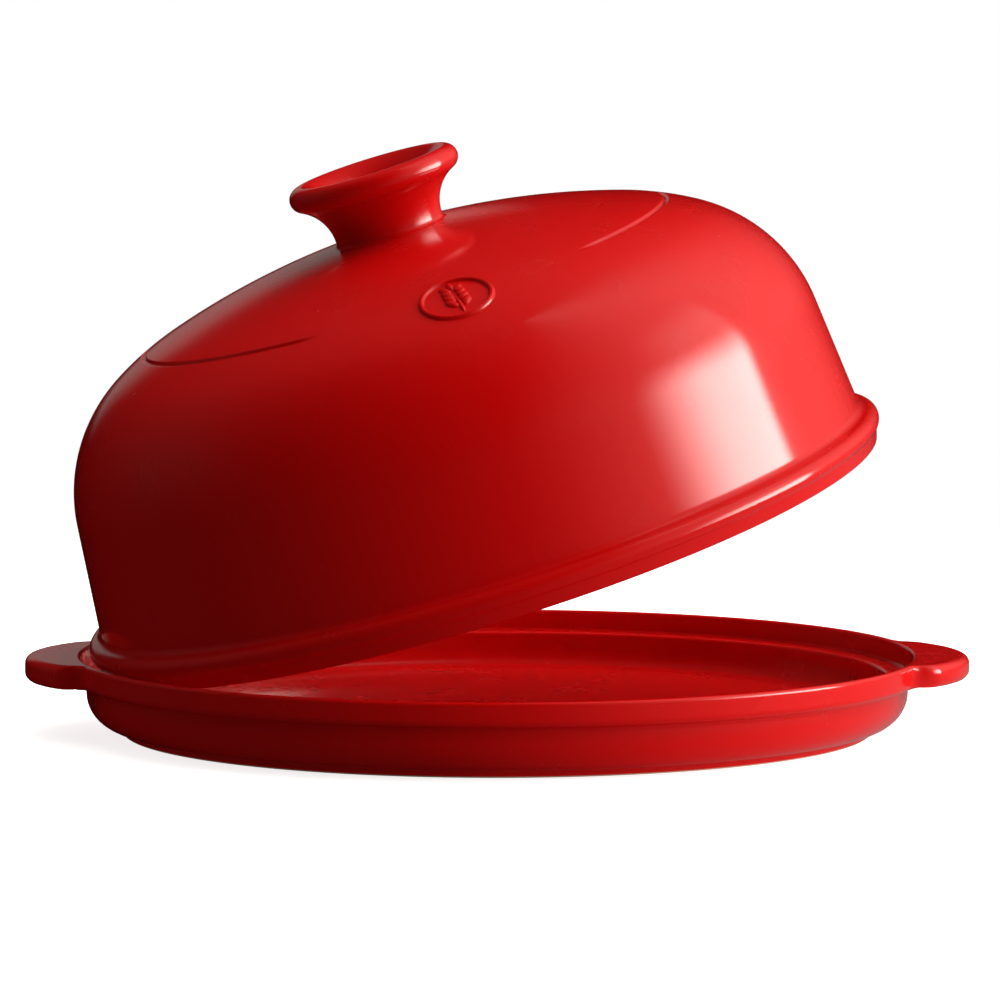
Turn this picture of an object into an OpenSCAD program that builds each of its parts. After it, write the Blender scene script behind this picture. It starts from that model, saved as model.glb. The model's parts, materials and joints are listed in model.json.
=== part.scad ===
// Bread cloche: a shallow ceramic baking dish with two lug handles, and a domed lid with a knob.
// Origin at the centre of the foot ring, on the surface it stands on. +Z up, +X through the right
// handle. The lid is drawn tipped open: it stands on the left of its rim, with the right side up.

/* [Dish] */
// Outer radius of the dish at its rim
rim_r = 150.4; // [146:0.2:156]
// Height of the dish, which is also the level of the handle tops
dish_h = 27.5; // [26:0.5:34]
// Inset of the bowl's side below the rim band
bowl_inset = 4.8; // [3.4:0.1:7]
// Radius of the turn from the side of the bowl to its underside
bowl_round = 12; // [8:0.5:12]
// Inset of the foot ring from the side of the bowl
foot_inset = 12.6; // [12.2:0.2:24]
// Width of the foot ring
foot_w = 7; // [4:0.5:10]
// Height of the foot ring
foot_h = 2.6; // [2:0.1:3.2]
// Height of the underside above the table, inside the foot ring
under_h = 1.6; // [1:0.1:2]
// Thickness of the floor
floor_t = 6.2; // [5:0.1:8]
// Radius of the cove between the floor and the side
cove_r = 9; // [5:0.5:9.5]

/* [Rim] */
// Thickness of the rim beside the lid
rim_t = 2.85; // [2.7:0.05:3.6]
// Rounding of the rim's crest
crest_round = 1.3; // [0.8:0.1:1.3]
// Height of the band round the rim
band_h = 8.8; // [7:0.1:9.5]
// Rounding of the band's lower edge
band_round = 2.2; // [1:0.1:2.6]
// Depth of the ledge that carries the lid, below the crest
ledge_depth = 7.3; // [7:0.1:8.4]
// Width of the ledge, from its inner edge to the foot of the rim's inner face
ledge_w = 8.8; // [8:0.1:10]
// Rounding of the ledge's inner edge
ledge_round = 1.5; // [0.8:0.1:1.8]
// Inward lean of the rim's inner face, from the crest to the ledge
rim_draft = 0.9; // [0.2:0.1:1]

/* [Handles] */
// Distance by which a handle stands out from the rim
handle_out = 17.1; // [13:0.1:24]
// Width of a handle
handle_w = 81; // [70:1:90]
// Depth of the handle tops below the crest of the rim
handle_drop = 0.2; // [0.1:0.1:0.4]
// Thickness of a handle
handle_t = 7.9; // [6.5:0.1:8.5]
// Radius of the outer curve of a handle, seen from above
nose_r = 62; // [55:1:75]
// Radius of the corners of a handle, seen from above
corner_r = 9; // [6:0.5:10]
// Radius of the fillet between a handle and the rim, seen from above
root_r = 6; // [4:0.5:9]
// Depth by which that fillet bites into the rim, which keeps its end from running out to nothing
root_bite = 0.3; // [0.1:0.1:0.6]
// Rounding of the handle's edges
handle_edge = 3; // [1.5:0.1:3.2]

/* [Lid] */
// Wall thickness of the lid
lid_t = 6.5; // [5:0.1:8]
// Width of the flange, from the foot of the wall to its outer edge
flange_w = 5.8; // [5.4:0.1:7]
// Inward lean of the straight wall, in degrees
wall_lean = 5.8; // [3:0.1:8]
// Height of the straight wall
wall_h = 38.3; // [20:0.1:60]
// Radius of the shoulder above the wall
shoulder_r = 57; // [45:0.5:64]
// Steepness at the end of the shoulder, in degrees from upright
shoulder_end = 59; // [50:1:64]
// Radius of the haunch between the shoulder and the crown
haunch_r = 104; // [85:1:125]
// Steepness at the start of the crown, in degrees from upright
haunch_end = 72; // [70:0.5:76]
// Distance of the ring groove from the foot of the wall, seen from above
groove_inset = 44; // [34:0.5:80]
// Depth of the ring groove
groove_depth = 0.9; // [0.4:0.1:1.2]
// Width of the ring groove
groove_w = 4; // [2.5:0.1:5]
// Gap in the ring groove at the medallion, in degrees
groove_gap = 61; // [20:1:120]

/* [Flange] */
// Radius of the bead's round section
bead_r = 3.9; // [3:0.1:4.2]
// Height of the bead's centre above the bottom of the lid
bead_rise = 8; // [7.6:0.1:8.4]
// Inset of the lip's foot from the outer edge of the flange
lip_inset = 3; // [2.6:0.1:4]
// Inset of the lip's top from the outer edge of the flange
lip_top_inset = 1.6; // [1.2:0.1:2.2]
// Rounding of the lip's lower edges
lip_round = 1; // [0.6:0.1:1.4]
// Radius of the fillet between the bead and the wall
bead_fillet = 3; // [1.5:0.1:4]

/* [Knob] */
// Outer radius of the knob
knob_r = 30.8; // [26:0.2:36]
// Height of the knob above the crown
knob_h = 23.6; // [22.5:0.1:30]
// Radius of the knob's rounded lip, which is half its wall
knob_round = 4.4; // [3:0.1:5]
// Radius of the knob's neck
neck_r = 19.4; // [16:0.2:22]
// Radius of the flare from the neck to the lip
flare_r = 15.8; // [13:0.1:16.4]
// Depth of the hollow in the knob
cup_depth = 15; // [8:0.5:17]

/* [Medallion] */
// Radius of the medallion
medallion_r = 13; // [9:0.5:16]
// Width of the medallion's raised border
medallion_w = 1.9; // [1:0.1:3]
// Height of the medallion's raised border above the dome
medallion_h = 1; // [0.6:0.1:1.6]
// Distance of the medallion's centre from the foot of the wall, seen from above
medallion_inset = 43.2; // [36:0.2:70]
// Direction of the medallion from the lid's axis, in degrees from +X
medallion_turn = -79; // [-180:1:180]

/* [Fit and pose] */
// Gap between the centred lid's bead and the inside of the rim
lid_gap = 1.75; // [1:0.05:2]
// Part of that gap that is left at the raised side, towards which the tipped lid stands off centre
side_gap = 0.35; // [0.3:0.05:0.8]
// Gap between the closed lid and its ledge
seat_gap = 0.3; // [0.2:0.05:0.6]
// Angle by which the lid is drawn tipped open, in degrees
tip = 17.6; // [0:0.2:45]
// Direction of the raised side of the lid, in degrees from +X
tip_turn = 15; // [-60:1:60]

/* [Hidden] */
$fn = 64;
glaze = [0.72, 0.07, 0.07];

// Dish: levels and radii
bowl_r = rim_r - bowl_inset;
foot_r = bowl_r - foot_inset;
floor_z = under_h + floor_t;
band_z = dish_h - band_h;
ledge_z = dish_h - ledge_depth;
rim_in_r = rim_r - rim_t;
ledge_r = rim_in_r - rim_draft - ledge_w;
handle_reach = rim_r + handle_out;

// Lid, as it stands closed on its ledge
flange_r = rim_in_r - lid_gap;
lip_z = ledge_z + seat_gap;
bead = [flange_r - bead_r, lip_z + bead_rise];
fillet_x = bead.x - flange_r + flange_w;
fillet_rise = sqrt(pow(bead_r + bead_fillet, 2) - pow(fillet_x - bead_fillet, 2));
wall_foot = [flange_r - flange_w, bead.y + fillet_rise];
groove_r = wall_foot.x - groove_inset;
medallion_reach = wall_foot.x - medallion_inset;
wall_end = wall_foot + wall_h * [-tan(wall_lean), 1];
shoulder_c = wall_end - shoulder_r * ray(wall_lean);
haunch_c = shoulder_c + (shoulder_r - haunch_r) * ray(shoulder_end);
crown_start = haunch_c + haunch_r * ray(haunch_end);
crown_r = crown_start.x / cos(haunch_end);
crown_c = [0, crown_start.y - crown_r * sin(haunch_end)];
crown_z = crown_c.y + crown_r;

// Tipping axis: the middle of the bead at the lowest point of the flange, with the lid off centre
lid_shift = lid_gap - side_gap;
pivot = [lid_shift - bead.x, bead.y];

// Knob: centres of the lip and of the flare that runs into it
knob_z = crown_z + knob_h;
knob_lip = [knob_r - knob_round, knob_z - knob_round];
flare_x = neck_r + flare_r;
flare_drop = sqrt(pow(flare_r + knob_round, 2) - pow(flare_x - knob_lip.x, 2));
flare_c = [flare_x, knob_lip.y - flare_drop];
flare_turn = atan2(flare_drop, knob_lip.x - flare_x);
cup_r = flare_r + 2 * knob_round;
cup_z = knob_z - cup_depth;
cup_turn = 180 - asin((cup_z - flare_c.y) / cup_r);

// Handle, seen from above: centres of its nose, corner and root fillet
nose_x = handle_reach - nose_r;
corner_y = handle_w / 2 - corner_r;
corner_c = [nose_x + sqrt(pow(nose_r - corner_r, 2) - pow(corner_y, 2)), corner_y];
corner_turn = atan2(corner_c.y, corner_c.x - nose_x);
root_c = meeting(corner_c, rim_r + root_r - root_bite, corner_r + root_r);
root_turn = atan2(root_c.y - corner_c.y, root_c.x - corner_c.x);
rim_turn = atan2(-root_c.y, -root_c.x) + 360;
root_reach = 0.9;
edge_steps = 4;
handle_z = dish_h - handle_drop - handle_t;

// Unit vector at an angle
function ray(a) = [cos(a), sin(a)];

// Points of an arc round a centre, between two angles, in n steps
function arc(c, r, from, to, n) = [for (i = [0:n]) c + r * ray(from + (to - from) * i / n)];

// List of points, last one first
function turned(list) = [for (i = [len(list) - 1:-1:0]) list[i]];

// List of points without its first one, and the list mirrored in the X axis
function rest(list) = [for (i = [1:len(list) - 1]) list[i]];
function mirrored(list) = [for (p = list) [p.x, -p.y]];

// Point that is ra from the origin and rb from c, on the anticlockwise side of c
function meeting(c, ra, rb) =
    let (d = norm(c), along = (ra * ra - rb * rb + d * d) / (2 * d), off = sqrt(ra * ra - along * along))
    (along * c + off * [-c.y, c.x]) / d;

// Half outline of the dome, from the foot of its wall to the axis, moved inward by t
function dome_curve(t) = concat(
    [wall_foot - t * ray(wall_lean)],
    arc(shoulder_c, shoulder_r - t, wall_lean, shoulder_end, 10),
    arc(haunch_c, haunch_r - t, shoulder_end, haunch_end, 4),
    arc(crown_c, crown_r - t, haunch_end, 90, 6));

// Steepness of the dome at a distance from its axis, and the point there
function dome_lean(r) =
    r > haunch_c.x + haunch_r * cos(shoulder_end) ? acos((r - shoulder_c.x) / shoulder_r)
    : r > crown_start.x ? acos((r - haunch_c.x) / haunch_r)
    : acos(r / crown_r);
function dome_point(r) =
    r > haunch_c.x + haunch_r * cos(shoulder_end) ? shoulder_c + shoulder_r * ray(dome_lean(r))
    : r > crown_start.x ? haunch_c + haunch_r * ray(dome_lean(r))
    : crown_c + crown_r * ray(dome_lean(r));

// Outline of the dish from the axis, along its underside and side, to the crest
function dish_outside() = concat(
    [[0, under_h], [foot_r - foot_w, under_h], [foot_r - foot_w, 0], [foot_r, 0], [foot_r, foot_h]],
    arc([bowl_r - bowl_round, foot_h + bowl_round], bowl_round, -90, 0, 8),
    [[bowl_r, band_z]],
    arc([rim_r - band_round, band_z + band_round], band_round, -90, 0, 4),
    arc([rim_r - crest_round, dish_h - crest_round], crest_round, 0, 90, 4));

// Outline of the dish from the crest, down the rim and over the ledge, to the floor's centre
function dish_inside() = concat(
    arc([rim_in_r + crest_round, dish_h - crest_round], crest_round, 90, 180, 4),
    [[rim_in_r - rim_draft, ledge_z]],
    arc([ledge_r + ledge_round, ledge_z - ledge_round], ledge_round, 90, 180, 4),
    arc([ledge_r - cove_r, floor_z + cove_r], cove_r, 0, -90, 8),
    [[0, floor_z]]);

// Half outline of a handle from above, moved inward by d: root fillet, then corner
function handle_side(d) = concat(
    arc(root_c, root_r + d, rim_turn, root_turn + 180, 6),
    rest(arc(corner_c, corner_r - d, root_turn, corner_turn, 5)));

// Whole outline of a handle from above, clockwise, closed inside the rim
function handle_ring(d) =
    let (side = handle_side(d), nose = arc([nose_x, 0], nose_r - d, corner_turn, -corner_turn, 14))
    concat(side, rest(turned(rest(turned(nose)))), turned(mirrored(side)),
        [root_reach * mirrored([side[0]])[0], root_reach * side[0]]);

// A handle at +X, from the outside of the rim: rings stacked over its rounded edges
module handle() {
    edge = arc([handle_edge, handle_edge], handle_edge, 180, 270, edge_steps);
    levels = concat(turned(edge), [for (p = edge) [p.x, handle_t - p.y]]);
    count = len(handle_ring(0));
    points = [for (p = levels) for (q = handle_ring(p.x)) [q.x, q.y, handle_z + p.y]];
    walls = [for (k = [0:len(levels) - 2]) for (i = [0:count - 1])
        let (a = k * count + i, b = k * count + (i + 1) % count)
        each [[a, b, b + count], [a, b + count, a + count]]];
    top = [for (i = [0:count - 1]) (len(levels) - 1) * count + i];
    bottom = [for (i = [count - 1:-1:0]) i];
    difference() {
        polyhedron(points, concat(walls, [top, bottom]));
        rotate_extrude() polygon(concat(dish_outside(), [[0, dish_h]]));
    }
}

// Carries what is drawn for the closed lid to the tipped lid
module on_tipped_lid() {
    rotate([0, 0, tip_turn])
        translate([pivot.x, 0, pivot.y])
            rotate([0, -tip, 0])
                translate([lid_shift - pivot.x, 0, -pivot.y])
                    rotate([0, 0, -tip_turn])
                        children();
}

// Half section of the dome with its flange
module dome_section() {
    lip_top = flange_r - lip_top_inset;
    lip_foot = flange_r - lip_inset;
    lip_in = wall_foot.x - lid_t + (wall_foot.y - lip_z) * tan(wall_lean);
    polygon(concat(
        arc([lip_in + lip_round, lip_z + lip_round], lip_round, 180, 270, 3),
        arc([lip_foot - lip_round, lip_z + lip_round], lip_round, 270, 360, 3),
        [[lip_top, bead.y - sqrt(pow(bead_r, 2) - pow(lip_top - bead.x, 2))], bead],
        dome_curve(0),
        turned(dome_curve(lid_t))));
    translate(bead) circle(bead_r);
    difference() {
        polygon([bead, wall_foot + [bead_fillet, 0], wall_foot, [wall_foot.x, bead.y]]);
        translate(wall_foot + [bead_fillet, 0]) circle(bead_fillet);
    }
}

// Half section of the knob, down to the dome that it stands on
module knob_section() {
    difference() {
        polygon(concat(
            [[0, crown_z - knob_round], [neck_r, crown_z - knob_round], [neck_r, flare_c.y]],
            arc(flare_c, flare_r, 180, flare_turn, 8),
            arc(knob_lip, knob_round, flare_turn - 180, flare_turn, 10),
            arc(flare_c, cup_r, flare_turn, cup_turn, 8),
            [[0, cup_z]]));
        polygon(concat([[0, wall_foot.y]], dome_curve(0)));
    }
}

module base_dish() {
    color(glaze) rotate_extrude() polygon(concat(dish_outside(), dish_inside()));
}

module left_handle() {
    color(glaze) rotate([0, 0, 180]) handle();
}

module right_handle() {
    color(glaze) handle();
}

module dome_shell() {
    groove_round = (pow(groove_w / 2, 2) + pow(groove_depth, 2)) / (2 * groove_depth);
    groove_c = dome_point(groove_r) + (groove_round - groove_depth) * ray(dome_lean(groove_r));
    color(glaze) on_tipped_lid() difference() {
        rotate_extrude() dome_section();
        rotate([0, 0, medallion_turn + groove_gap / 2])
            rotate_extrude(angle = 360 - groove_gap) translate(groove_c) circle(groove_round);
    }
}

module lid_knob() {
    color(glaze) on_tipped_lid() rotate_extrude() knob_section();
}

module medallion() {
    spot = dome_point(medallion_reach);
    color(glaze) on_tipped_lid() intersection() {
        rotate_extrude() polygon(concat(dome_curve(0), turned(dome_curve(-medallion_h))));
        rotate([0, 0, medallion_turn]) translate([spot.x, 0, spot.y])
            rotate([0, 90 - dome_lean(medallion_reach), 0]) difference() {
                cylinder(h = medallion_r, r = medallion_r, center = true);
                cylinder(h = medallion_r + 1, r = medallion_r - medallion_w, center = true);
            }
    }
}

base_dish();
left_handle();
right_handle();
dome_shell();
lid_knob();
medallion();
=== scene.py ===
"""Bread cloche: a red glazed baking dish with two lug handles, and a domed lid tipped open on its rim."""

import json
import math

import bpy
import numpy as np
from bpy.props import FloatProperty, FloatVectorProperty, PointerProperty
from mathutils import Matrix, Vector


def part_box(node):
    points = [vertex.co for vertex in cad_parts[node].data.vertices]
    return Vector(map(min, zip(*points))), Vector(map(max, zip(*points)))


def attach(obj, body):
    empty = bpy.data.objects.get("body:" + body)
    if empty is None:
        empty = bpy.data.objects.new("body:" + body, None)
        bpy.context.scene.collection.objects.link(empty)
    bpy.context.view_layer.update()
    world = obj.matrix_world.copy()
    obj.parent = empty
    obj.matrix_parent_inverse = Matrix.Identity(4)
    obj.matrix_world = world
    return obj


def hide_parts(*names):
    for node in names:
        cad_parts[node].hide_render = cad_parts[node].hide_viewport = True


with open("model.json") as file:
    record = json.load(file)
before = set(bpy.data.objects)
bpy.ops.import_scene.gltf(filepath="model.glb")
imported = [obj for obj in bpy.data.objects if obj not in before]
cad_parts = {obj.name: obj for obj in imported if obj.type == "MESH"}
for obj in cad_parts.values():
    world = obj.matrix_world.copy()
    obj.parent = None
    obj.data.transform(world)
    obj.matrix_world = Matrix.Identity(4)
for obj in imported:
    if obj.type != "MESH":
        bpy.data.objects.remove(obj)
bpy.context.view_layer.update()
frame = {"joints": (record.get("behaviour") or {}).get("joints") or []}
LID_TIP = frame["joints"][0]
MM = 0.001

bl_info = {
    "name": "Bread Cloche",
    "version": (1, 0, 0),
    "blender": (4, 5, 0),
    "location": "View3D > Sidebar > Bread Cloche",
    "description": "Builds a glazed bread cloche and the studio that it stands in",
    "category": "Object",
}


def length(name, description, value):
    """A size in metres."""
    return FloatProperty(name=name, description=description, default=value, unit="LENGTH", precision=5)


def angle(name, description, degrees):
    """An angle, kept in radians and shown in degrees."""
    return FloatProperty(name=name, description=description, default=math.radians(degrees), subtype="ANGLE")


def factor(name, description, value, top=1.0):
    """A plain number from 0 to top."""
    return FloatProperty(name=name, description=description, default=value, min=0.0, max=top)


def colour(name, description, value):
    """A colour in linear RGB."""
    return FloatVectorProperty(
        name=name, description=description, default=value, subtype="COLOR", size=3, min=0.0, max=1.0
    )


class DishSizes(bpy.types.PropertyGroup):
    """Sizes of the baking dish."""

    rim_r: length("Rim radius", "Outer radius of the rim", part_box("base_dish")[1].x)
    height: length("Height", "Height of the crest of the rim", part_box("base_dish")[1].z)
    bowl_inset: length("Bowl inset", "Inset of the bowl's side below the rim band", 4.8 * MM)
    bowl_round: length("Bowl rounding", "Radius of the turn from the side to the underside", 12 * MM)
    foot_inset: length("Foot inset", "Inset of the foot ring from the bowl's side", 12.6 * MM)
    foot_w: length("Foot width", "Width of the foot ring", 7 * MM)
    foot_h: length("Foot height", "Height of the foot ring", 2.6 * MM)
    foot_round: length("Foot rounding", "Rounding of the foot ring's edges", 1.1 * MM)
    under_h: length("Underside", "Height of the underside inside the foot ring", 1.6 * MM)
    floor_t: length("Floor", "Thickness of the floor", 6.2 * MM)
    cove_r: length("Cove", "Radius of the cove between the floor and the side", 9 * MM)
    rim_t: length("Rim thickness", "Thickness of the rim beside the lid", 2.85 * MM)
    rim_draft: length("Rim draft", "Inward lean of the rim's inner face", 0.9 * MM)
    crest_round: length("Crest rounding", "Rounding of the rim's crest", 1.3 * MM)
    band_h: length("Band height", "Height of the band round the rim", 8.8 * MM)
    band_round: length("Band rounding", "Rounding of the band's lower edge", 2.2 * MM)
    band_cove: length("Band cove", "Radius of the cove under the band", 1.6 * MM)
    ledge_depth: length("Ledge depth", "Depth of the ledge below the crest", 7.3 * MM)
    ledge_w: length("Ledge width", "Width of the ledge that carries the lid", 8.8 * MM)
    ledge_round: length("Ledge rounding", "Rounding of the ledge's inner edge", 1.5 * MM)


class HandleSizes(bpy.types.PropertyGroup):
    """Sizes of the two lug handles."""

    reach: length("Reach", "Distance from the dish's centre to a handle's tip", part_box("right_handle")[1].x)
    width: length(
        "Width", "Width of a handle, without its root fillets", 81 * MM
    )
    thickness: length("Thickness", "Thickness of a handle", 7.9 * MM)
    drop: length("Drop", "Depth of the handle's top below the crest", 0.2 * MM)
    nose_r: length("Nose radius", "Radius of the outer curve, seen from above", 62 * MM)
    corner_r: length("Corner radius", "Radius of the corners, seen from above", 9 * MM)
    root_r: length("Root radius", "Radius of the fillet to the rim, seen from above", 6 * MM)
    edge: length("Edge rounding", "Rounding of the handle's edges", 3 * MM)
    arch: length("Arch", "Rise of the middle of the handle's underside", 0.9 * MM)
    left_droop: length("Left droop", "Droop of the left handle's tip", 1.5 * MM)
    right_droop: length("Right droop", "Droop of the right handle's tip", 0.5 * MM)


class LidSizes(bpy.types.PropertyGroup):
    """Sizes of the lid's dome and flange."""

    gap: length("Gap", "Gap between the centred lid's bead and the inside of the rim", 1.75 * MM)
    seat_gap: length("Seat gap", "Gap between the closed lid and its ledge", 0.3 * MM)
    thickness: length("Thickness", "Wall thickness of the lid", 6.5 * MM)
    flange_w: length("Flange width", "Width of the flange outside the wall", 5.8 * MM)
    wall_lean: angle("Wall lean", "Inward lean of the straight wall", 5.8)
    wall_h: length("Wall height", "Height of the straight wall", 38.3 * MM)
    shoulder_r: length("Shoulder radius", "Radius of the shoulder above the wall", 57 * MM)
    shoulder_end: angle("Shoulder end", "Steepness at the end of the shoulder", 59)
    haunch_r: length("Haunch radius", "Radius between the shoulder and the crown", 104 * MM)
    haunch_end: angle("Haunch end", "Steepness at the start of the crown", 72)
    bead_r: length("Bead radius", "Radius of the bead's round section", 3.9 * MM)
    bead_rise: length("Bead rise", "Height of the bead's centre above the lid's bottom", 8 * MM)
    bead_fillet: length("Bead fillet", "Radius of the fillet between bead and wall", 3 * MM)
    lip_inset: length("Lip inset", "Inset of the lip's foot from the flange's edge", 3 * MM)
    lip_top_inset: length("Lip top inset", "Inset of the lip's top from the flange's edge", 1.6 * MM)
    lip_round: length("Lip rounding", "Rounding of the lip's lower edges", 1 * MM)
    groove_inset: length("Groove inset", "Distance of the ring groove from the foot of the wall", 44 * MM)
    groove_depth: length("Groove depth", "Depth of the ring groove", 0.8 * MM)
    groove_w: length("Groove width", "Width of the ring groove", 2.6 * MM)
    groove_gap: angle("Groove gap", "Gap in the ring groove at the medallion", 58)
    groove_run: angle("Groove run-out", "Angle over which each end of the groove fades", 6)


class KnobSizes(bpy.types.PropertyGroup):
    """Sizes of the knob."""

    radius: length("Radius", "Outer radius of the knob", 30.8 * MM)
    height: length("Height", "Height of the knob above the crown", 23.6 * MM)
    rounding: length("Rounding", "Radius of the rounded lip", 4.4 * MM)
    neck_r: length("Neck radius", "Radius of the neck", 19.4 * MM)
    flare_r: length("Flare radius", "Radius of the flare from the neck to the lip", 15.8 * MM)
    cup_depth: length("Cup depth", "Depth of the hollow", 15 * MM)
    cup_cove: length("Cup cove", "Radius of the cove at the bottom of the hollow", 5 * MM)
    seam_r: length("Seam radius", "Radius of the joint between the neck and the crown", 1.4 * MM)


class MedallionSizes(bpy.types.PropertyGroup):
    """Sizes of the medallion on the front of the lid."""

    radius: length("Radius", "Outer radius of the raised border", 13 * MM)
    border: length("Border", "Width of the raised border", 1.9 * MM)
    height: length("Height", "Height of the raised border", 1.0 * MM)
    inset: length("Inset", "Distance of its centre from the foot of the wall", 43.2 * MM)
    turn: angle("Direction", "Direction of its centre from +X", -79)
    ear_height: length("Ear relief", "Height of the grains of the wheat ear", 0.95 * MM)


class GlazeFinish(bpy.types.PropertyGroup):
    """Colours and finish of the glaze and of the bare clay."""

    red: colour("Red", "Colour of the glaze", (0.63, 0.0022, 0.0022))
    deep: colour("Deep red", "Colour where the glaze lies thicker", (0.60, 0.0021, 0.0021))
    speck: colour("Specks", "Colour of the fine specks in the glaze", (0.30, 0.002, 0.002))
    clay: colour("Clay", "Colour of the bare foot ring", (0.56, 0.42, 0.31))
    gloss: factor("Roughness", "Roughness of the glaze below its surface", 0.26)
    coat: factor("Surface gloss", "Strength of the gloss of the glaze's surface", 0.60)
    skin: factor("Surface roughness", "Roughness of the glaze's surface", 0.07)
    peel: factor("Orange peel", "Strength of the fine unevenness", 0.15)


class Studio(bpy.types.PropertyGroup):
    """Camera, lamps and floor."""

    distance: length("Camera distance", "Distance from the camera to the object", 2.2)
    lift: angle("Camera elevation", "Angle of the camera above the horizon", 7.03)
    aim_x: length("Aim X", "Point that the camera looks at, along X", 1 * MM)
    aim_z: length("Aim Z", "Point that the camera looks at, above the floor", 81.9 * MM)
    view_w: length("View width", "Width of the view at the object", 355.6 * MM)
    key: factor("Key light", "Strength of the soft light from the right and above", 4.4, 20.0)
    key_azimuth: angle("Key azimuth", "Direction of the key light: 0 is at the camera, 90 at the right", 110)
    key_elevation: angle("Key elevation", "Height of the key light above the horizon", 42)
    low: factor("Low light", "Strength of the weaker light from the right of the camera, near the floor", 3.0, 20.0)
    side: factor("Side light", "Strength of the weak light from the left", 0.7, 20.0)
    back: factor("Back light", "Strength of the weak light from behind", 1.2, 20.0)
    fill: factor("Fill", "Strength of the plain light from all round", 0.02, 4.0)
    panel: factor("Panel", "Brightness of the soft box that is mirrored at the right", 17.5, 100.0)
    panel_glow: factor("Panel glow", "Brightness of the cloth round the soft box", 1.4, 10.0)
    haze: factor("Haze", "Brightness of the rest of the room at the right", 0.75, 10.0)
    window: factor("Window", "Brightness of the window behind at the left, in reflections", 0.22, 10.0)
    floor: colour("Floor", "Colour of the floor", (0.80, 0.80, 0.80))
    warmth: colour("Warmth", "Colour of the light", (1.0, 0.985, 0.93))
    lift_white: factor("Floor lift", "Light that lifts the floor to white where the camera sees it", 0.80)
    bounce: factor("Bounce", "Light that the floor throws back at the right", 1.1, 4.0)
    cloth: factor("Cloth", "Light that the black cloth on the floor throws back", 0.15, 4.0)
    shadow_r: length("Shadow radius", "Distance from the object within which the floor keeps its shadow", 0.35)


SETTINGS = {
    "dish": DishSizes,
    "handle": HandleSizes,
    "lid": LidSizes,
    "knob": KnobSizes,
    "medallion": MedallionSizes,
    "glaze": GlazeFinish,
    "studio": Studio,
}


class ClocheSettings(bpy.types.PropertyGroup):
    """Every setting of the bread cloche."""

    __annotations__ = {name: PointerProperty(type=group) for name, group in SETTINGS.items()}


def ray(a):
    """Unit vectors at the angles a."""
    return np.stack([np.cos(a), np.sin(a)], axis=-1)


def arc(centre, radius, start, end, steps):
    """Points of an arc: centre plus radius times the unit vector, with the angle going evenly from start to end."""
    return np.asarray(centre) + radius * ray(np.linspace(start, end, steps + 1))


def smooth(x):
    """Smooth step: 0 below 0, 1 above 1, and x squared times (3 - 2x) between."""
    x = np.clip(x, 0.0, 1.0)
    return x * x * (3 - 2 * x)


def unit(v):
    """Vectors of length 1."""
    return v / np.linalg.norm(v, axis=-1, keepdims=True)


def rounded(corners, support=0.5 * MM):
    """Outline through corners (r, z, radius, steps), as an array of rows, columns and (r, z).

    With unit vectors a and b from a corner to its neighbours and 2h the angle between them, the arc touches the
    two sides at radius / tan(h) from the corner, its centre lies radius / sin(h) away along a + b, and its points
    turn evenly from one touching point to the other. A supporting row lies just outside each end of an arc, so
    that the flat beside it is shaded flat. r, z and the radius may each have one value for every column.
    """
    columns = max(np.size(value) for corner in corners for value in corner[:3])
    spots = np.array([[np.broadcast_to(v, columns) for v in corner[:2]] for corner in corners])
    spots = spots.transpose(0, 2, 1)
    ahead = unit(spots[1:] - spots[:-1])
    a, b = -ahead[:-1], ahead[1:]
    half = np.arccos(np.clip((a * b).sum(-1), -1, 1)) / 2
    radii = np.array([np.broadcast_to(corner[2], columns) for corner in corners[1:-1]])
    reach = np.zeros(spots.shape[:2])
    reach[1:-1] = radii / np.tan(half)
    free = np.linalg.norm(spots[1:] - spots[:-1], axis=-1) - reach[1:] - reach[:-1]
    margin = np.minimum(support, 0.3 * free)
    rows = [spots[:1]]
    for i in range(len(a)):
        spot, touch, turn = spots[i + 1], reach[i + 1][:, None], (math.pi - 2 * half[i])[:, None]
        centre = spot + unit(a[i] + b[i]) * (radii[i] / np.sin(half[i]))[:, None]
        first, last = spot + a[i] * touch - centre, spot + b[i] * touch - centre
        t = np.linspace(0, 1, corners[i + 1][3] + 1)[:, None, None]
        rows.append((spot + a[i] * (touch + margin[i][:, None]))[None])
        rows.append(centre + (np.sin((1 - t) * turn) * first + np.sin(t * turn) * last) / np.sin(turn))
        rows.append((spot + b[i] * (touch + margin[i + 1][:, None]))[None])
    return np.concatenate(rows + [spots[-1:]])


def spun(outline, angles):
    """Points of an outline carried round the Z axis: (r cos a, r sin a, z), one column for each angle."""
    outline = np.broadcast_to(outline.reshape(len(outline), -1, 2), (len(outline), len(angles), 2))
    r, z = outline[..., 0], outline[..., 1]
    return np.stack([r * np.cos(angles), r * np.sin(angles), z], axis=-1)


def opened(points):
    """Points of the closed, centred lid, moved off centre and turned about the hinge to where the lid is at rest.

    It moves until the middle of its bead meets the hinge. Turning v about the unit axis k by t gives
    v cos t + (k x v) sin t + k (k . v)(1 - cos t).
    """
    s = bpy.context.scene.cloche
    pivot, axis = np.array(LID_TIP["pos_m"]), unit(np.array(LID_TIP["axis"]))
    turn = math.radians(-LID_TIP["range_deg"][0])
    outward = unit(pivot * (1, 1, 0))
    bead_reach = s.dish.rim_r - s.dish.rim_t - s.lid.gap - s.lid.bead_r
    v = points - bead_reach * outward - pivot * (0, 0, 1)
    along = (v @ axis)[..., None] * axis
    return pivot + v * math.cos(turn) + np.cross(axis, v) * math.sin(turn) + along * (1 - math.cos(turn))


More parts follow.
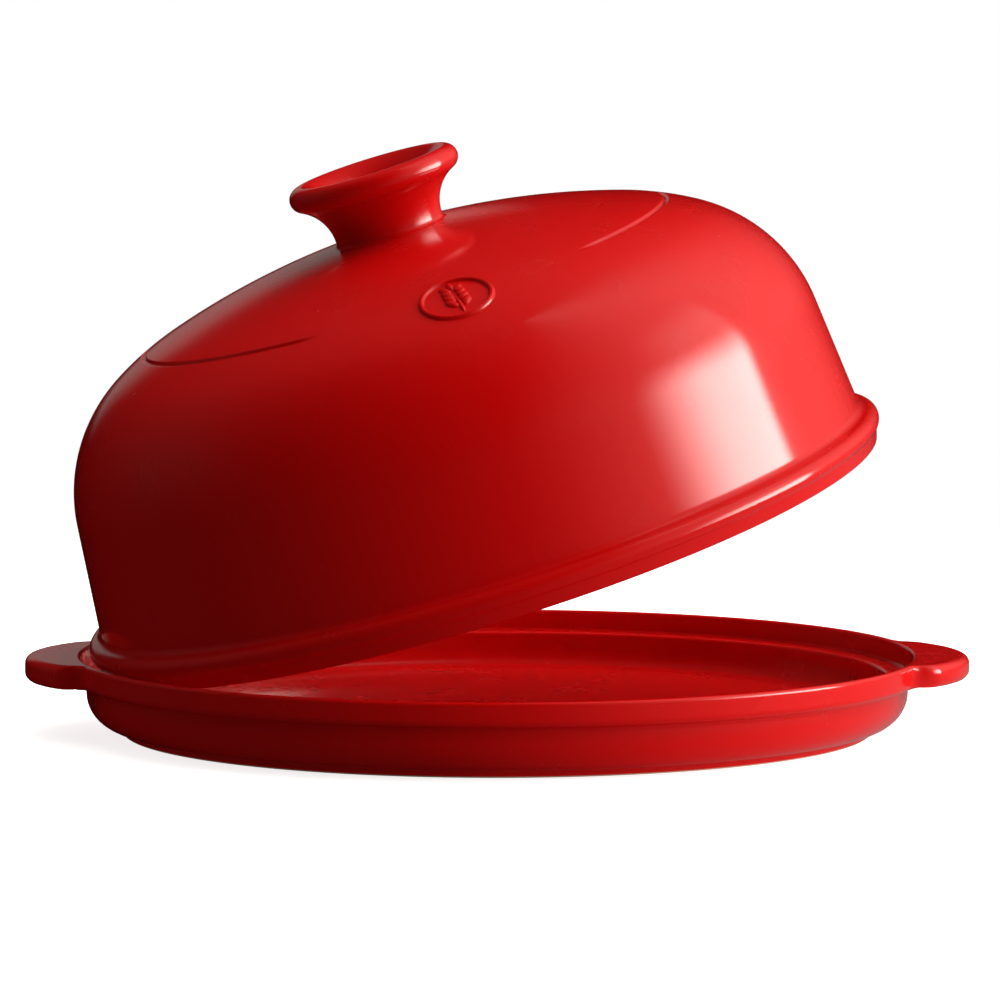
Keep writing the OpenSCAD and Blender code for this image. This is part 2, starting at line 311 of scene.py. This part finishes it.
def skin(name, rings, start, end):
    """Closed mesh from one pole to the other: quads between the rings, and a fan of triangles at each pole.

    Outside, the rings follow one another upwards and each runs anticlockwise seen from above.
    """
    rows, columns = rings.shape[:2]
    points = np.vstack([[start], rings.reshape(-1, 3), [end]])
    ring = 1 + np.arange(rows * columns).reshape(rows, columns)
    beside = np.roll(ring, -1, axis=1)
    quads = np.stack([ring[:-1], beside[:-1], beside[1:], ring[1:]], axis=-1).reshape(-1, 4)
    first = np.stack([np.zeros(columns, int), beside[0], ring[0]], axis=-1)
    last = np.stack([ring[-1], beside[-1], np.full(columns, len(points) - 1)], axis=-1)
    corners = np.concatenate([quads.ravel(), first.ravel(), last.ravel()])
    sizes = np.concatenate([np.full(len(quads), 4), np.full(2 * columns, 3)])
    mesh = bpy.data.meshes.new(name)
    mesh.vertices.add(len(points))
    mesh.vertices.foreach_set("co", points.astype(np.float32).ravel())
    mesh.loops.add(len(corners))
    mesh.loops.foreach_set("vertex_index", corners.astype(np.int32))
    mesh.polygons.add(len(sizes))
    mesh.polygons.foreach_set("loop_start", np.concatenate([[0], np.cumsum(sizes)[:-1]]).astype(np.int32))
    mesh.update(calc_edges=True)
    mesh.shade_smooth()
    if mesh.validate():
        raise RuntimeError(f"{name}: the mesh had faulty faces")
    piece = bpy.data.objects.new(name, mesh)
    bpy.context.scene.collection.objects.link(piece)
    return piece


class Expr:
    """A shader socket in a sum: each operator adds a Math node, and numbers may stand on either side."""

    def __init__(self, shader, socket):
        self.shader, self.socket = shader, socket

    def _math(self, operation, *values):
        return self.shader.node("ShaderNodeMath", {"operation": operation}, dict(enumerate(values))).out()

    def __add__(self, other):
        return self._math("ADD", self, other)

    def __radd__(self, other):
        return self._math("ADD", other, self)

    def __sub__(self, other):
        return self._math("SUBTRACT", self, other)

    def __rsub__(self, other):
        return self._math("SUBTRACT", other, self)

    def __mul__(self, other):
        return self._math("MULTIPLY", self, other)

    def __rmul__(self, other):
        return self._math("MULTIPLY", other, self)

    def __pow__(self, other):
        return self._math("POWER", self, other)

    def __lt__(self, other):
        return self._math("LESS_THAN", self, other)

    def __gt__(self, other):
        return self._math("GREATER_THAN", self, other)

    def either(self, other):
        """The larger of two values."""
        return self._math("MAXIMUM", self, other)

    def turn_from(self, other):
        """Angle of the arc tangent of self over other, from -pi to pi."""
        return self._math("ARCTAN2", self, other)

    def step(self, low, high):
        """Smooth step from 0 at low to 1 at high."""
        settings = {"interpolation_type": "SMOOTHSTEP"}
        inputs = {"Value": self, "From Min": low, "From Max": high}
        return self.shader.node("ShaderNodeMapRange", settings, inputs).out()


class Added:
    """A node that was added to a shader."""

    def __init__(self, shader, node):
        self.shader, self.node = shader, node

    def out(self, name=0):
        """One of the node's outputs, by name or number."""
        return Expr(self.shader, self.node.outputs[name])


class Shader:
    """The node tree of a material or a world."""

    def __init__(self, owner):
        owner.use_nodes = True
        self.tree = owner.node_tree
        self.tree.nodes.clear()

    def node(self, kind, settings=None, inputs=None):
        """Adds a node, applies its settings, and then sets or links its inputs, by name or number."""
        made = self.tree.nodes.new(kind)
        for name, value in (settings or {}).items():
            setattr(made, name, value)
        for name, value in (inputs or {}).items():
            if isinstance(value, Expr):
                self.tree.links.new(value.socket, made.inputs[name])
            else:
                made.inputs[name].default_value = value
        return Added(self, made)

    def mixed(self, mask, first, second):
        """Colour that goes from first to second as the mask goes from 0 to 1."""
        made = self.node("ShaderNodeMix", {"data_type": "RGBA"}, {"Factor": mask})
        for name, value in (("A", first), ("B", second)):
            socket = next(s for s in made.node.inputs if s.name == name and s.type == "RGBA")
            if isinstance(value, Expr):
                self.tree.links.new(value.socket, socket)
            else:
                socket.default_value = (*value, 1.0)
        return Expr(self, next(s for s in made.node.outputs if s.type == "RGBA"))


def glaze(name, finish, bare_below=None):
    """Glossy glaze with a fine unevenness, faint drifts of colour and specks. Below the height bare_below the
    clay is bare."""
    material = bpy.data.materials.new(name)
    shader = Shader(material)
    place = shader.node("ShaderNodeTexCoord").out("Object")

    def noise(scale, detail=2.0):
        return shader.node("ShaderNodeTexNoise", None, {"Vector": place, "Scale": scale, "Detail": detail}).out("Fac")

    drift, cloud, peel = noise(9.0), noise(55.0, 3.0), noise(260.0)
    cells = shader.node("ShaderNodeTexVoronoi", None, {"Vector": place, "Scale": 95.0}).out("Distance")
    base = shader.mixed((drift * 0.7 + cloud * 0.3).step(0.25, 0.75), tuple(finish.red), tuple(finish.deep))
    base = shader.mixed((cells < 0.022) * 0.2, base, tuple(finish.speck))
    rough = finish.gloss + (cloud - 0.5) * 0.10
    coat = finish.coat
    height = peel + cloud * 2.0
    if bare_below is not None:
        level = shader.node("ShaderNodeSeparateXYZ", None, {"Vector": place}).out("Z")
        bare = 1 - level.step(bare_below - 0.2 * MM, bare_below + 0.2 * MM)
        grain = noise(1500.0, 4.0)
        clay = shader.mixed(grain, tuple(finish.clay), tuple(0.8 * c for c in finish.clay))
        base = shader.mixed(bare, base, clay)
        rough = rough + bare * 0.55
        coat = (1 - bare) * finish.coat
        height = height + bare * grain * 3.0
    bump = shader.node("ShaderNodeBump", None, {"Strength": finish.peel, "Distance": 0.00004, "Height": height})
    inputs = {
        "Base Color": base,
        "Roughness": rough,
        "Specular IOR Level": 0.08,
        "Coat Weight": coat,
        "Coat Roughness": finish.skin,
        "Normal": bump.out("Normal"),
        "Coat Normal": bump.out("Normal"),
    }
    surface = shader.node("ShaderNodeBsdfPrincipled", None, inputs).out()
    shader.node("ShaderNodeOutputMaterial", None, {"Surface": surface})
    return material


def placed(piece, body, slot, material, *nodes):
    """Gives a piece its material, ties it to its body and hides the CAD nodes that it stands for. The slot is not
    used.
    """
    piece.data.materials.append(material)
    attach(piece, body)
    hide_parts(*nodes)


def band_reach(angles, dish, handle):
    """Outer radius of the rim, in each direction: the rim's own radius, or the handle's outline from above.

    That outline is an arc round the nose, an arc round the corner and a root fillet that runs into the rim; its
    points are turned into angle and radius, and each direction reads its radius between them.
    """
    nose = np.array([handle.reach - handle.nose_r, 0.0])
    corner_y = handle.width / 2 - handle.corner_r
    corner = nose + np.array([math.sqrt((handle.nose_r - handle.corner_r) ** 2 - corner_y**2), corner_y])
    corner_turn = math.atan2(corner_y, corner[0] - nose[0])
    far, near = dish.rim_r + handle.root_r, handle.corner_r + handle.root_r
    gap = np.linalg.norm(corner)
    along = (far**2 - near**2 + gap**2) / (2 * gap)
    root = (along * corner + math.sqrt(far**2 - along**2) * np.array([-corner[1], corner[0]])) / gap
    root_turn = math.atan2(*(root - corner)[::-1])
    rim_turn = math.atan2(-root[1], -root[0]) + 2 * math.pi
    outline = np.concatenate([
        arc(nose, handle.nose_r, 0, corner_turn, 40),
        arc(corner, handle.corner_r, corner_turn, root_turn, 24),
        arc(root, handle.root_r, root_turn + math.pi, rim_turn, 24),
    ])
    aside = np.abs((angles + math.pi / 2) % math.pi - math.pi / 2)
    turned = np.arctan2(outline[:, 1], outline[:, 0])
    return np.maximum(np.interp(aside, turned, np.hypot(*outline.T)), dish.rim_r)


def handle_angles(spread=math.radians(21), fine=230, coarse=110):
    """Directions round the dish, close together across the two handles and wider apart between them."""
    near = np.linspace(-spread, spread, fine, endpoint=False)
    far = np.linspace(spread, math.pi - spread, coarse, endpoint=False)
    return np.concatenate([near, far, near + math.pi, far + math.pi])


def build_dish(dish, handle):
    """The dish: its half outline carried round the axis, with the band of the rim drawn out into the handles."""
    angles = handle_angles()
    reach = band_reach(angles, dish, handle)
    lug = smooth((reach - dish.rim_r) / (4 * MM))
    bowl_r = dish.rim_r - dish.bowl_inset
    foot_r = bowl_r - dish.foot_inset
    band_z = dish.height - dish.band_h
    ledge_z = dish.height - dish.ledge_depth
    rim_in = dish.rim_r - dish.rim_t
    ledge_r = rim_in - dish.rim_draft - dish.ledge_w
    floor_z = dish.under_h + dish.floor_t
    lug_top = dish.height - handle.drop
    droop = np.where(np.cos(angles) > 0, handle.right_droop, handle.left_droop)
    tip_z = band_z + lug * (lug_top - handle.thickness - band_z - droop)
    arch_r = bowl_r + 0.55 * (reach - bowl_r)
    arch_z = (band_z + tip_z) / 2 + (0.03 + lug) * handle.arch
    corners = [
        (20 * MM, dish.under_h, 0, 0),
        (foot_r - dish.foot_w, dish.under_h, 0.8 * MM, 3),
        (foot_r - dish.foot_w, 0, dish.foot_round - 0.4 * MM, 3),
        (foot_r, 0, dish.foot_round, 4),
        (foot_r, dish.foot_h, 0.5 * MM, 2),
        (bowl_r, dish.foot_h, dish.bowl_round, 12),
        (bowl_r, band_z, dish.band_cove, 4),
        (arch_r, arch_z, 6 * MM, 3),
        (reach, tip_z, dish.band_round + lug * (handle.edge - dish.band_round), 6),
        (reach, dish.height - lug * handle.drop, dish.crest_round + lug * (handle.edge - dish.crest_round), 7),
        (rim_in, dish.height, dish.crest_round, 6),
        (rim_in - dish.rim_draft, ledge_z, 1 * MM, 4),
        (ledge_r, ledge_z, dish.ledge_round, 5),
        (ledge_r, floor_z, dish.cove_r, 12),
        (20 * MM, floor_z, 0, 0),
    ]
    rings = spun(rounded(corners), angles)
    return skin("baking_dish", rings, (0, 0, dish.under_h), (0, 0, floor_z))


class DomeCurve:
    """The outer half outline of the closed lid, from the foot of its wall to its crown, measured along itself.

    A straight wall that leans inwards runs into the shoulder, the haunch and the crown, three arcs that each
    start where the last one ends, in the same direction.
    """

    def __init__(self, dish, lid):
        self.dish, self.lid = dish, lid
        lean = lid.wall_lean
        self.flange_r = dish.rim_r - dish.rim_t - lid.gap
        self.bottom = dish.height - dish.ledge_depth + lid.seat_gap
        self.bead = np.array([self.flange_r - lid.bead_r, self.bottom + lid.bead_rise])
        aside = self.bead[0] - self.flange_r + lid.flange_w - lid.bead_fillet
        rise = math.sqrt((lid.bead_r + lid.bead_fillet) ** 2 - aside**2)
        self.foot = np.array([self.flange_r - lid.flange_w, self.bead[1] + rise])
        wall_end = self.foot + lid.wall_h * np.array([-math.tan(lean), 1.0])
        shoulder = wall_end - lid.shoulder_r * ray(lean)
        haunch = shoulder + (lid.shoulder_r - lid.haunch_r) * ray(lid.shoulder_end)
        start = haunch + lid.haunch_r * ray(lid.haunch_end)
        crown_r = start[0] / math.cos(lid.haunch_end)
        self.crown = np.array([0.0, start[1] - crown_r * math.sin(lid.haunch_end)])
        self.crown_r = crown_r
        self.points = np.concatenate([
            np.linspace(self.foot, wall_end, 200, endpoint=False),
            arc(shoulder, lid.shoulder_r, lean, lid.shoulder_end, 400)[:-1],
            arc(haunch, lid.haunch_r, lid.shoulder_end, lid.haunch_end, 300)[:-1],
            arc(self.crown, crown_r, lid.haunch_end, math.pi / 2, 600),
        ])
        steps = np.linalg.norm(np.diff(self.points, axis=0), axis=1)
        self.along = np.concatenate([[0.0], np.cumsum(steps)])
        ahead = unit(np.gradient(self.points, self.along, axis=0))
        self.normals = np.stack([ahead[:, 1], -ahead[:, 0]], axis=-1)
        self.top = self.crown[1] + crown_r

    def at(self, along):
        """Points and outward normals at distances along the curve."""
        pick = [np.interp(along, self.along, v) for v in (*self.points.T, *self.normals.T)]
        return np.stack(pick[:2], axis=-1), np.stack(pick[2:], axis=-1)

    def distance_at(self, r):
        """Distance along the curve at which it is r from the axis."""
        return float(np.interp(-r, -self.points[:, 0], self.along))


def groove_cut(dome, lid, along, angles):
    """Depth of the ring groove at distances along the dome and angles round it.

    Across the groove the depth is that of (1 - (d / h)^2)^2, with d the distance from its middle line and h half
    its width. It fades to nothing at both sides of the gap.
    """
    middle = dome.distance_at(dome.foot[0] - lid.groove_inset)
    across = np.clip(1 - ((along - middle) / (lid.groove_w / 2)) ** 2, 0, None) ** 2
    turn = bpy.context.scene.cloche.medallion.turn
    aside = np.abs((angles - turn + math.pi) % (2 * math.pi) - math.pi)
    round_it = smooth((aside - lid.groove_gap / 2) / lid.groove_run)
    return lid.groove_depth * across[:, None] * round_it[None]


def build_dome(dish, lid):
    """The dome: its inside down to the lip, round the bead of the flange, and its outside up to the crown."""
    dome = DomeCurve(dish, lid)
    angles = np.linspace(-math.pi, math.pi, 400, endpoint=False)
    lean = lid.wall_lean
    up = np.array([-math.sin(lean), math.cos(lean)])
    offset = dome.foot + lid.bead_fillet * ray(lean) - dome.bead
    reach = lid.bead_r + lid.bead_fillet
    start = math.sqrt((offset @ up) ** 2 - offset @ offset + reach**2) - offset @ up
    fillet = dome.bead + offset + start * up
    toward = math.atan2(*(fillet - dome.bead)[::-1])
    fillet_end = lean - math.pi
    lip_top = np.array([dome.flange_r - lid.lip_top_inset, 0.0])
    lip_top[1] = dome.bead[1] - math.sqrt(lid.bead_r**2 - (lip_top[0] - dome.bead[0]) ** 2)
    bead_start = math.radians(-38)
    under_bead = dome.bead + lid.bead_r * ray(bead_start)
    inner_foot = dome.foot - lid.thickness * ray(lean)
    lip_in = inner_foot[0] + (inner_foot[1] - dome.bottom) * math.tan(lean)

    inner_along = np.linspace(dome.along[-1] - 8 * MM, 0, 60)
    spots, normals = dome.at(inner_along)
    inside = spots - lid.thickness * normals
    lip = rounded([
        (*inside[-1], 0, 0),
        (lip_in, dome.bottom, lid.lip_round, 5),
        (dome.flange_r - lid.lip_inset, dome.bottom, lid.lip_round, 5),
        (*lip_top, 0.7 * MM, 3),
        (*under_bead, 0, 0),
    ])[1:-1, 0]
    bead = arc(dome.bead, lid.bead_r, bead_start, toward, 22)
    hollow = arc(fillet, lid.bead_fillet, toward - math.pi, fillet_end, 8)[1:]

    middle = dome.distance_at(dome.foot[0] - lid.groove_inset)
    near_groove = middle + np.linspace(-0.75, 0.75, 19) * lid.groove_w
    spread = np.linspace(start + 0.5 * MM, dome.along[-1] - 6 * MM, 104)
    spread = spread[np.abs(spread - middle) > 0.9 * lid.groove_w]
    outer_along = np.sort(np.concatenate([near_groove, spread]))
    spots, normals = dome.at(outer_along)
    depth = groove_cut(dome, lid, outer_along, angles)
    outside = spots[:, None] - normals[:, None] * depth[..., None]

    flat = np.concatenate([inside, lip, bead, hollow])
    flat = np.broadcast_to(flat[:, None], (len(flat), len(angles), 2))
    rings = spun(np.concatenate([flat, outside]), angles)
    low = opened(np.array([0.0, 0.0, dome.top - lid.thickness]))
    high = opened(np.array([0.0, 0.0, dome.top]))
    return skin("domed_lid", opened(rings), low, high)


def build_knob(dish, lid, knob):
    """The knob: up its neck from a small seam on the crown, round the flare and the lip, and down its hollow."""
    dome = DomeCurve(dish, lid)
    top = dome.top + knob.height
    angles = np.linspace(-math.pi, math.pi, 224, endpoint=False)
    lip = np.array([knob.radius - knob.rounding, top - knob.rounding])
    flare_x = knob.neck_r + knob.flare_r
    drop = math.sqrt((knob.flare_r + knob.rounding) ** 2 - (flare_x - lip[0]) ** 2)
    flare = np.array([flare_x, lip[1] - drop])
    turn = math.atan2(drop, lip[0] - flare_x)
    cup_r = knob.flare_r + 2 * knob.rounding
    cup_z = top - knob.cup_depth
    cup_turn = math.pi - math.asin((cup_z + knob.cup_cove - flare[1]) / cup_r)

    def crown_at(r):
        return dome.crown[1] + math.sqrt(dome.crown_r**2 - r**2)

    buried = 2 * MM
    toe = knob.neck_r + 2.2 * knob.seam_r
    seam = rounded([
        (1 * MM, dome.top - buried, 0, 0),
        (toe, crown_at(toe) - buried, 0.3 * MM, 2),
        (toe, crown_at(toe) - 0.05 * MM, 0.04 * MM, 2),
        (knob.neck_r, crown_at(knob.neck_r), knob.seam_r, 6),
        (knob.neck_r, flare[1], 0, 0),
    ])[:-1, 0]
    side = arc(flare, knob.flare_r, math.pi, turn, 26)
    crest = arc(lip, knob.rounding, turn - math.pi, turn, 24)[1:]
    hollow = arc(flare, cup_r, turn, cup_turn, 20)[1:]
    bottom = rounded([
        (*hollow[-1], 0, 0),
        (hollow[-1][0] - 0.4 * knob.cup_cove, cup_z, 0.8 * knob.cup_cove, 8),
        (2 * MM, cup_z, 0, 0),
    ])[2:, 0]
    rings = spun(np.concatenate([seam, side, crest, hollow, bottom]), angles)
    low = opened(np.array([0.0, 0.0, dome.top - buried]))
    high = opened(np.array([0.0, 0.0, cup_z]))
    return skin("lid_knob_glazed", opened(rings), low, high)


def grain(u, v, at, lean, long, wide):
    """Height from 0 to 1 of a rounded grain: 1 - x^2 - y^2 in its own axes, leaning from the stem by an angle."""
    x = (u - at[0]) * math.cos(lean) - (v - at[1]) * math.sin(lean)
    y = (u - at[0]) * math.sin(lean) + (v - at[1]) * math.cos(lean)
    return np.sqrt(np.clip(1 - (x / wide) ** 2 - (y / long) ** 2, 0, 1))


def wheat_ear(u, v):
    """Height from 0 to 1 of an ear of wheat: a stem, pairs of leaning grains up both sides and one at the tip."""
    height = grain(u, v, (0, -5.4 * MM), 0, 4.6 * MM, 0.75 * MM) * 0.7
    for pair in range(4):
        for side in (-1, 1):
            at = (side * 2.5 * MM, (-3.8 + 3.1 * pair) * MM)
            height = np.maximum(height, grain(u, v, at, side * math.radians(32), 2.8 * MM, 1.5 * MM))
    return np.maximum(height, grain(u, v, (0, 7.7 * MM), 0, 2.4 * MM, 1.4 * MM))


def build_medallion(dish, lid, medallion):
    """The medallion: a disc that follows the dome, with a raised border and an ear of wheat.

    A point at (u, v) from its middle lies v further up the dome and u round it, and stands off along the normal.
    The border's height is that of sqrt(1 - (d / h)^2), with d the distance from its middle line and h half its
    width.
    """
    dome = DomeCurve(dish, lid)
    middle = dome.foot[0] - medallion.inset
    turns = np.linspace(-math.pi, math.pi, 288, endpoint=False)
    sizes = medallion.radius + 0.8 * MM
    radii = np.linspace(sizes, 0.15 * MM, 96)[:, None]
    u, v = radii * np.cos(turns), radii * np.sin(turns)
    ring = medallion.radius - medallion.border / 2
    border = np.sqrt(np.clip(1 - ((radii - ring) / (medallion.border / 2)) ** 2, 0, 1))
    height = medallion.height * border + medallion.ear_height * wheat_ear(u, v)
    height = height + 0.06 * MM - 0.4 * MM * smooth((radii - medallion.radius) / (0.8 * MM))

    def on_dome(u, v, height):
        spots, normals = dome.at(dome.distance_at(middle) + v)
        spots = spots + normals * np.broadcast_to(height, u.shape)[..., None]
        around = medallion.turn + u / middle
        r, z = spots[..., 0], spots[..., 1]
        return opened(np.stack([r * np.cos(around), r * np.sin(around), z], axis=-1))

    buried = -1.2 * MM
    under = on_dome(u[:1], v[:1], buried)
    rings = np.concatenate([under, on_dome(u, v, height)])
    nowhere = np.zeros(1)
    low = on_dome(nowhere, nowhere, buried)[0]
    high = on_dome(nowhere, nowhere, height[-1:, 0])[0]
    return skin("lid_medallion", rings, low, high)


class ClocheOperator(bpy.types.Operator):
    """Shared by the operators below."""

    bl_options = {"REGISTER", "UNDO"}


class CLOCHE_OT_dish(ClocheOperator):
    """Builds the baking dish with its two handles"""

    bl_idname = "cloche.dish"
    bl_label = "Baking Dish"

    def execute(self, context):
        s = context.scene.cloche
        material = glaze("dish glaze", s.glaze, bare_below=0.5 * MM)
        dish = build_dish(s.dish, s.handle)
        placed(dish, "base", "dish_glaze", material, "base_dish", "left_handle", "right_handle")
        return {"FINISHED"}


class CLOCHE_OT_lid(ClocheOperator):
    """Builds the domed lid with its knob and medallion"""

    bl_idname = "cloche.lid"
    bl_label = "Lid"

    def execute(self, context):
        s = context.scene.cloche
        material = glaze("lid glaze", s.glaze)
        placed(build_dome(s.dish, s.lid), "lid", "lid_glaze", material, "dome_shell")
        placed(build_knob(s.dish, s.lid, s.knob), "lid", "lid_glaze", material, "lid_knob")
        placed(build_medallion(s.dish, s.lid, s.medallion), "lid", "lid_glaze", material, "medallion")
        return {"FINISHED"}


def patch(name, points):
    """Open sheet from a grid of points."""
    rows, columns = points.shape[:2]
    index = np.arange(rows * columns).reshape(rows, columns)
    quads = np.stack([index[:-1, :-1], index[:-1, 1:], index[1:, 1:], index[1:, :-1]], axis=-1).reshape(-1, 4)
    mesh = bpy.data.meshes.new(name)
    mesh.from_pydata(points.reshape(-1, 3).tolist(), [], quads.tolist())
    mesh.update()
    sheet = bpy.data.objects.new(name, mesh)
    bpy.context.scene.collection.objects.link(sheet)
    return sheet


def direction(azimuth, elevation):
    """Unit vectors: azimuth 0 points at the camera and 90 degrees to the right; elevation is above the horizon."""
    level = np.cos(elevation)
    return np.stack([np.sin(azimuth) * level, -np.cos(azimuth) * level, np.sin(elevation)], axis=-1)


HAZE_LOW = 0.35  # share of the haze's brightness that is left at the horizon and on the floor


def azimuth_of(shader, place):
    """Azimuth of a place or direction, from 0 at the camera to 90 degrees at the right."""
    parts = shader.node("ShaderNodeSeparateXYZ", None, {"Vector": place})
    return parts.out("X").turn_from(parts.out("Y") * -1)


def haze_at(azimuth):
    """Share of the haze that hangs in the room at an azimuth: it fades to the front and to the back."""
    ahead = azimuth.step(math.radians(8), math.radians(80))
    return ahead * (1 - azimuth.step(math.radians(104), math.radians(178)))


def mirrored_room(shader, toward, studio):
    """Brightness of the room in the glaze's reflections, by direction.

    A soft box stands at the right, brightest low down, with a glow of cloth round it. Black cloth hangs in
    front and at the left, and the room between is a haze that fades from the right to the front. A
    window stands behind at the left.
    """
    azimuth = azimuth_of(shader, toward)
    level = shader.node("ShaderNodeSeparateXYZ", None, {"Vector": toward}).out("Z")

    def fade(value, low, high):
        return value.step(math.radians(low), math.radians(high))

    box_end = 1 - fade(azimuth, 101, 107)
    core = fade(azimuth, 53, 86) * box_end * level.step(-0.04, 0.04) * (1 - level.step(0.25, 0.56))
    glow = fade(azimuth, 55, 85) * box_end * (1 - level.step(0.64, 0.85))
    haze = haze_at(azimuth) * (level.step(0, 0.3) * (1 - HAZE_LOW) + HAZE_LOW)
    window = (1 - fade(azimuth, -165, -153)) * fade(azimuth, -178.5, -176) * level.step(0.04, 0.10) * (1 - level.step(0.22, 0.38))
    return core * studio.panel + glow * studio.panel_glow + haze * studio.haze + window * studio.window


def build_world(studio):
    """The room: plain white for the camera, the soft box and black cloth in reflections, and for all other light
    three soft lobes, each the cosine to the lamp's direction raised to a power, and a plain fill."""
    world = bpy.data.worlds.new("studio")
    shader = Shader(world)
    toward = shader.node("ShaderNodeTexCoord").out("Generated")

    def lobe(azimuth, elevation, power):
        aim = {0: toward, 1: tuple(direction(azimuth, elevation))}
        cosine = shader.node("ShaderNodeVectorMath", {"operation": "DOT_PRODUCT"}, aim).out("Value")
        return cosine.either(0) ** power

    spread = lobe(studio.key_azimuth, studio.key_elevation, 4) * studio.key
    spread = spread + lobe(math.radians(62), math.radians(5), 8) * studio.low
    spread = spread + lobe(math.radians(-105), math.radians(8), 8) * studio.side
    spread = spread + lobe(math.radians(180), math.radians(45), 3) * studio.back + studio.fill
    path = shader.node("ShaderNodeLightPath")
    camera = path.out("Is Camera Ray")
    mirror = path.out("Is Glossy Ray").either(path.out("Is Transmission Ray"))
    strength = camera + mirror * mirrored_room(shader, toward, studio) + (1 - camera.either(mirror)) * spread
    tint = shader.node("ShaderNodeMix", {"data_type": "RGBA"}, {0: camera, 6: (*studio.warmth, 1), 7: (1, 1, 1, 1)}).out(2)
    background = shader.node("ShaderNodeBackground", None, {"Color": tint, "Strength": strength}).out()
    shader.node("ShaderNodeOutputWorld", None, {"Surface": background})
    world.cycles.sampling_method = "NONE"
    return world


def floor_material(studio):
    """Pale matt floor. For the camera it is lifted to white, and further out it is plain white, so that the
    object keeps its shadow and the floor runs into the backdrop. For all other light it is black at the front
    and left, where black cloth lies on it."""
    material = bpy.data.materials.new("pale floor")
    shader = Shader(material)
    place = shader.node("ShaderNodeTexCoord").out("Object")
    far = shader.node("ShaderNodeVectorMath", {"operation": "LENGTH"}, {0: place}).out("Value")
    path = shader.node("ShaderNodeLightPath")
    camera = path.out("Is Camera Ray")
    white = (1, 1, 1, 1)

    def glow(strength):
        return shader.node("ShaderNodeEmission", None, {"Color": white, "Strength": strength}).out()

    def mix(factor, first, second):
        return shader.node("ShaderNodeMixShader", None, {0: factor, 1: first, 2: second}).out()

    matt = shader.node("ShaderNodeBsdfDiffuse", None, {"Color": (*studio.floor, 1)}).out()
    near = shader.node("ShaderNodeAddShader", None, {0: matt, 1: glow(camera * studio.lift_white)}).out()
    seen = mix(far.step(studio.shadow_r, 2.5 * studio.shadow_r) * camera, near, glow(1.0))
    azimuth = azimuth_of(shader, place)
    right = 1 - azimuth.step(math.radians(100), math.radians(178))
    bounce = azimuth.step(math.radians(-15), math.radians(60)) * right * studio.bounce + studio.cloth
    mirrored = haze_at(azimuth) * studio.haze * HAZE_LOW
    surface = mix(camera, glow(bounce + path.out("Is Glossy Ray") * (mirrored - bounce)), seen)
    shader.node("ShaderNodeOutputMaterial", None, {"Surface": surface})
    material.cycles.emission_sampling = "NONE"
    return material


class CLOCHE_OT_stage(ClocheOperator):
    """Builds the floor, the lamps and the camera"""

    bl_idname = "cloche.stage"
    bl_label = "Studio"

    def execute(self, context):
        scene, studio = context.scene, context.scene.cloche.studio
        half = 6.0
        floor = patch("floor", np.array([[[-half, -half, 0], [half, -half, 0]], [[-half, half, 0], [half, half, 0]]]))
        floor.data.materials.append(floor_material(studio))
        scene.world = build_world(studio)

        camera = bpy.data.objects.new("camera", bpy.data.cameras.new("camera"))
        scene.collection.objects.link(camera)
        back = direction(0.0, studio.lift)
        camera.location = Vector(back * studio.distance)
        aim = Vector((studio.aim_x, 0, studio.aim_z)) - camera.location
        camera.rotation_euler = aim.to_track_quat("-Z", "Y").to_euler()
        camera.data.lens = camera.data.sensor_width * studio.distance / studio.view_w
        scene.camera = camera
        scene.view_settings.view_transform = "Standard"
        return {"FINISHED"}


OPERATORS = (CLOCHE_OT_stage, CLOCHE_OT_dish, CLOCHE_OT_lid)


class CLOCHE_PT_sidebar(bpy.types.Panel):
    """Lists the settings and the operators"""

    bl_idname = "CLOCHE_PT_sidebar"
    bl_label = "Bread Cloche"
    bl_space_type = "VIEW_3D"
    bl_region_type = "UI"
    bl_category = "Bread Cloche"

    def draw(self, context):
        for operator in OPERATORS:
            self.layout.operator(operator.bl_idname)
        for name in SETTINGS:
            group = getattr(context.scene.cloche, name)
            column = self.layout.column(heading=name.capitalize())
            for setting in group.bl_rna.properties:
                if setting.identifier not in ("name", "rna_type"):
                    column.prop(group, setting.identifier)


CLASSES = (*SETTINGS.values(), ClocheSettings, *OPERATORS, CLOCHE_PT_sidebar)


def register():
    for cls in CLASSES:
        bpy.utils.register_class(cls)
    bpy.types.Scene.cloche = PointerProperty(type=ClocheSettings)


def unregister():
    del bpy.types.Scene.cloche
    for cls in reversed(CLASSES):
        bpy.utils.unregister_class(cls)


def main():
    """Builds everything."""
    register()
    bpy.ops.cloche.stage()
    bpy.ops.cloche.dish()
    bpy.ops.cloche.lid()


if __name__ == "__main__":
    main()
